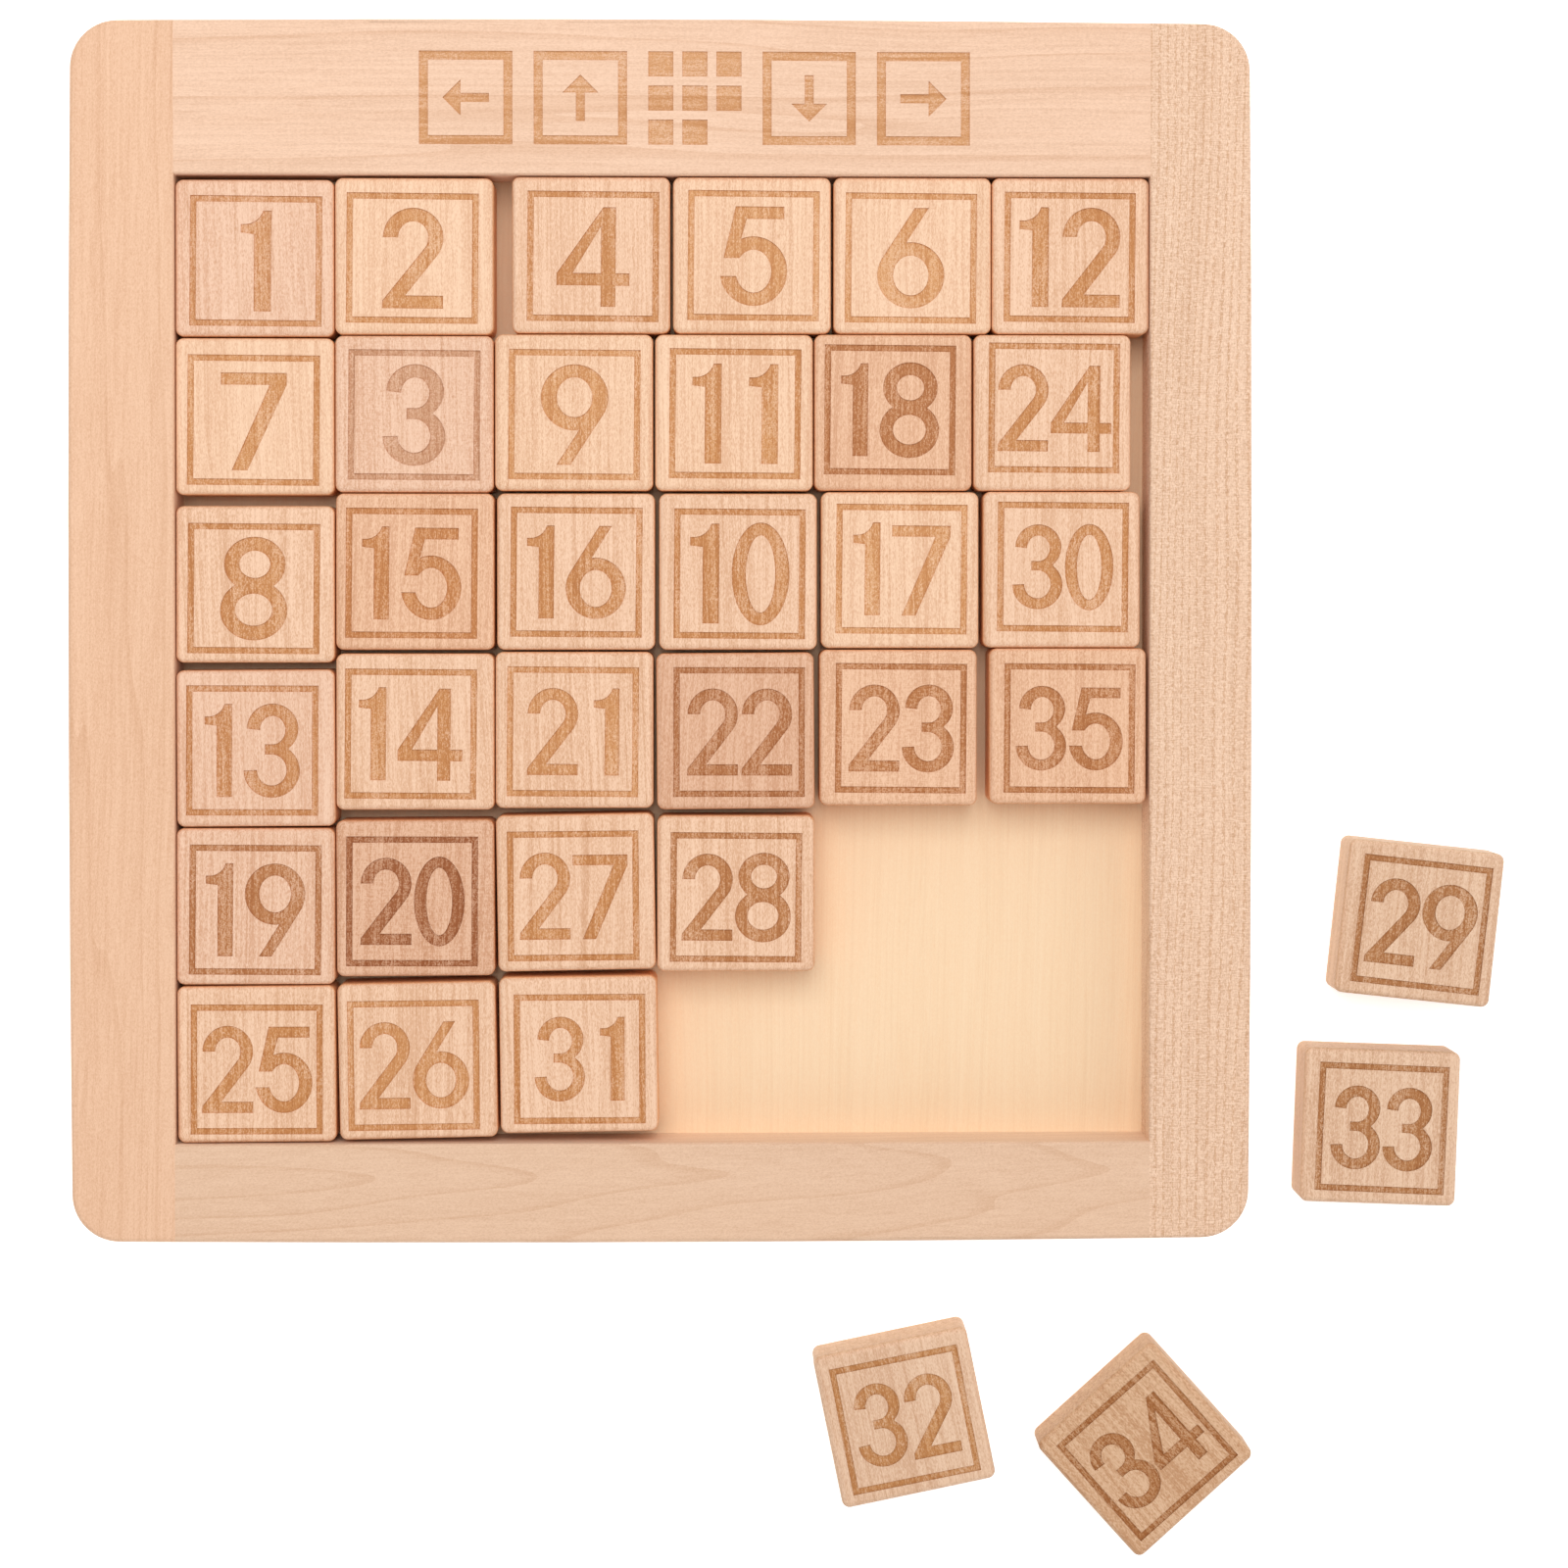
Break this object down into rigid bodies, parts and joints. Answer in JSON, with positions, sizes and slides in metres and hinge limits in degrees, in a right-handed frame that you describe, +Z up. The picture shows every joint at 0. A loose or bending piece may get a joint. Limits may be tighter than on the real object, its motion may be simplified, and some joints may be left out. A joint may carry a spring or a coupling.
{
  "type": "number sliding tile puzzle",
  "caption": "Flat wooden tray with square number tiles that slide into the empty places; the last few tiles lie loose beside it.",
  "frame": {"origin": "middle of the tray's underside, on the table", "axes": "+X towards the right rail, +Y towards the wide top rail, +Z up out of the tray"},
  "size_m": [0.2733, 0.293, 0.014],
  "materials": {
    "rail_wood": "fine sanded pale hardwood, unvarnished",
    "tile_wood": "fine sanded pale hardwood with laser-burnt border and number",
    "plywood": "smooth thin plywood"
  },
  "bodies": {
    "tray": {"left_rail": "rail_wood", "right_rail": "rail_wood", "top_rail": "rail_wood", "bottom_rail": "rail_wood", "base_panel": "plywood"},
    "tile_01": {"tile_01": "tile_wood"},
    "tile_02": {"tile_02": "tile_wood"},
    "tile_03": {"tile_03": "tile_wood"},
    "tile_04": {"tile_04": "tile_wood"},
    "tile_05": {"tile_05": "tile_wood"},
    "tile_06": {"tile_06": "tile_wood"},
    "tile_07": {"tile_07": "tile_wood"},
    "tile_08": {"tile_08": "tile_wood"},
    "tile_09": {"tile_09": "tile_wood"},
    "tile_10": {"tile_10": "tile_wood"},
    "tile_11": {"tile_11": "tile_wood"},
    "tile_12": {"tile_12": "tile_wood"},
    "tile_13": {"tile_13": "tile_wood"},
    "tile_14": {"tile_14": "tile_wood"},
    "tile_15": {"tile_15": "tile_wood"},
    "tile_16": {"tile_16": "tile_wood"},
    "tile_17": {"tile_17": "tile_wood"},
    "tile_18": {"tile_18": "tile_wood"},
    "tile_19": {"tile_19": "tile_wood"},
    "tile_20": {"tile_20": "tile_wood"},
    "tile_21": {"tile_21": "tile_wood"},
    "tile_22": {"tile_22": "tile_wood"},
    "tile_23": {"tile_23": "tile_wood"},
    "tile_24": {"tile_24": "tile_wood"},
    "tile_25": {"tile_25": "tile_wood"},
    "tile_26": {"tile_26": "tile_wood"},
    "tile_27": {"tile_27": "tile_wood"},
    "tile_28": {"tile_28": "tile_wood"},
    "tile_29": {"tile_29": "tile_wood"},
    "tile_30": {"tile_30": "tile_wood"},
    "tile_31": {"tile_31": "tile_wood"},
    "tile_32": {"tile_32": "tile_wood"},
    "tile_33": {"tile_33": "tile_wood"},
    "tile_34": {"tile_34": "tile_wood"},
    "tile_35": {"tile_35": "tile_wood"}
  },
  "joints": [
    {"name": "tile_01_lift", "type": "slide", "parent": "tray", "child": "tile_01", "axis": [0, 0, 1], "range_m": [0, 0.022]},
    {"name": "tile_02_lift", "type": "slide", "parent": "tray", "child": "tile_02", "axis": [0, 0, 1], "range_m": [0, 0.022]},
    {"name": "tile_03_lift", "type": "slide", "parent": "tray", "child": "tile_03", "axis": [0, 0, 1], "range_m": [0, 0.022]},
    {"name": "tile_04_lift", "type": "slide", "parent": "tray", "child": "tile_04", "axis": [0, 0, 1], "range_m": [0, 0.022]},
    {"name": "tile_05_lift", "type": "slide", "parent": "tray", "child": "tile_05", "axis": [0, 0, 1], "range_m": [0, 0.022]},
    {"name": "tile_06_lift", "type": "slide", "parent": "tray", "child": "tile_06", "axis": [0, 0, 1], "range_m": [0, 0.022]},
    {"name": "tile_07_lift", "type": "slide", "parent": "tray", "child": "tile_07", "axis": [0, 0, 1], "range_m": [0, 0.022]},
    {"name": "tile_08_lift", "type": "slide", "parent": "tray", "child": "tile_08", "axis": [0, 0, 1], "range_m": [0, 0.022]},
    {"name": "tile_09_lift", "type": "slide", "parent": "tray", "child": "tile_09", "axis": [0, 0, 1], "range_m": [0, 0.022]},
    {"name": "tile_10_lift", "type": "slide", "parent": "tray", "child": "tile_10", "axis": [0, 0, 1], "range_m": [0, 0.022]},
    {"name": "tile_11_lift", "type": "slide", "parent": "tray", "child": "tile_11", "axis": [0, 0, 1], "range_m": [0, 0.022]},
    {"name": "tile_12_lift", "type": "slide", "parent": "tray", "child": "tile_12", "axis": [0, 0, 1], "range_m": [0, 0.022]},
    {"name": "tile_13_lift", "type": "slide", "parent": "tray", "child": "tile_13", "axis": [0, 0, 1], "range_m": [0, 0.022]},
    {"name": "tile_14_lift", "type": "slide", "parent": "tray", "child": "tile_14", "axis": [0, 0, 1], "range_m": [0, 0.022]},
    {"name": "tile_15_lift", "type": "slide", "parent": "tray", "child": "tile_15", "axis": [0, 0, 1], "range_m": [0, 0.022]},
    {"name": "tile_16_lift", "type": "slide", "parent": "tray", "child": "tile_16", "axis": [0, 0, 1], "range_m": [0, 0.022]},
    {"name": "tile_17_lift", "type": "slide", "parent": "tray", "child": "tile_17", "axis": [0, 0, 1], "range_m": [0, 0.022]},
    {"name": "tile_18_lift", "type": "slide", "parent": "tray", "child": "tile_18", "axis": [0, 0, 1], "range_m": [0, 0.022]},
    {"name": "tile_19_lift", "type": "slide", "parent": "tray", "child": "tile_19", "axis": [0, 0, 1], "range_m": [0, 0.022]},
    {"name": "tile_20_lift", "type": "slide", "parent": "tray", "child": "tile_20", "axis": [0, 0, 1], "range_m": [0, 0.022]},
    {"name": "tile_21_lift", "type": "slide", "parent": "tray", "child": "tile_21", "axis": [0, 0, 1], "range_m": [0, 0.022]},
    {"name": "tile_22_lift", "type": "slide", "parent": "tray", "child": "tile_22", "axis": [0, 0, 1], "range_m": [0, 0.022]},
    {"name": "tile_23_slide", "type": "slide", "parent": "tray", "child": "tile_23", "axis": [0, 1, 0], "range_m": [-0.0637, 0]},
    {"name": "tile_24_lift", "type": "slide", "parent": "tray", "child": "tile_24", "axis": [0, 0, 1], "range_m": [0, 0.022]},
    {"name": "tile_25_lift", "type": "slide", "parent": "tray", "child": "tile_25", "axis": [0, 0, 1], "range_m": [0, 0.022]},
    {"name": "tile_26_lift", "type": "slide", "parent": "tray", "child": "tile_26", "axis": [0, 0, 1], "range_m": [0, 0.022]},
    {"name": "tile_27_lift", "type": "slide", "parent": "tray", "child": "tile_27", "axis": [0, 0, 1], "range_m": [0, 0.022]},
    {"name": "tile_28_slide", "type": "slide", "parent": "tray", "child": "tile_28", "axis": [1, 0, 0], "range_m": [0, 0.0629]},
    {"name": "tile_29_lift", "type": "slide", "parent": "tray", "child": "tile_29", "axis": [0, 0, 1], "range_m": [0, 0.022]},
    {"name": "tile_30_lift", "type": "slide", "parent": "tray", "child": "tile_30", "axis": [0, 0, 1], "range_m": [0, 0.022]},
    {"name": "tile_31_slide", "type": "slide", "parent": "tray", "child": "tile_31", "axis": [1, 0, 0], "range_m": [0, 0.093]},
    {"name": "tile_32_lift", "type": "slide", "parent": "tray", "child": "tile_32", "axis": [0, 0, 1], "range_m": [0, 0.022]},
    {"name": "tile_33_lift", "type": "slide", "parent": "tray", "child": "tile_33", "axis": [0, 0, 1], "range_m": [0, 0.022]},
    {"name": "tile_34_lift", "type": "slide", "parent": "tray", "child": "tile_34", "axis": [0, 0, 1], "range_m": [0, 0.022]},
    {"name": "tile_35_slide", "type": "slide", "parent": "tray", "child": "tile_35", "axis": [0, 1, 0], "range_m": [-0.0639, 0]}
  ]
}
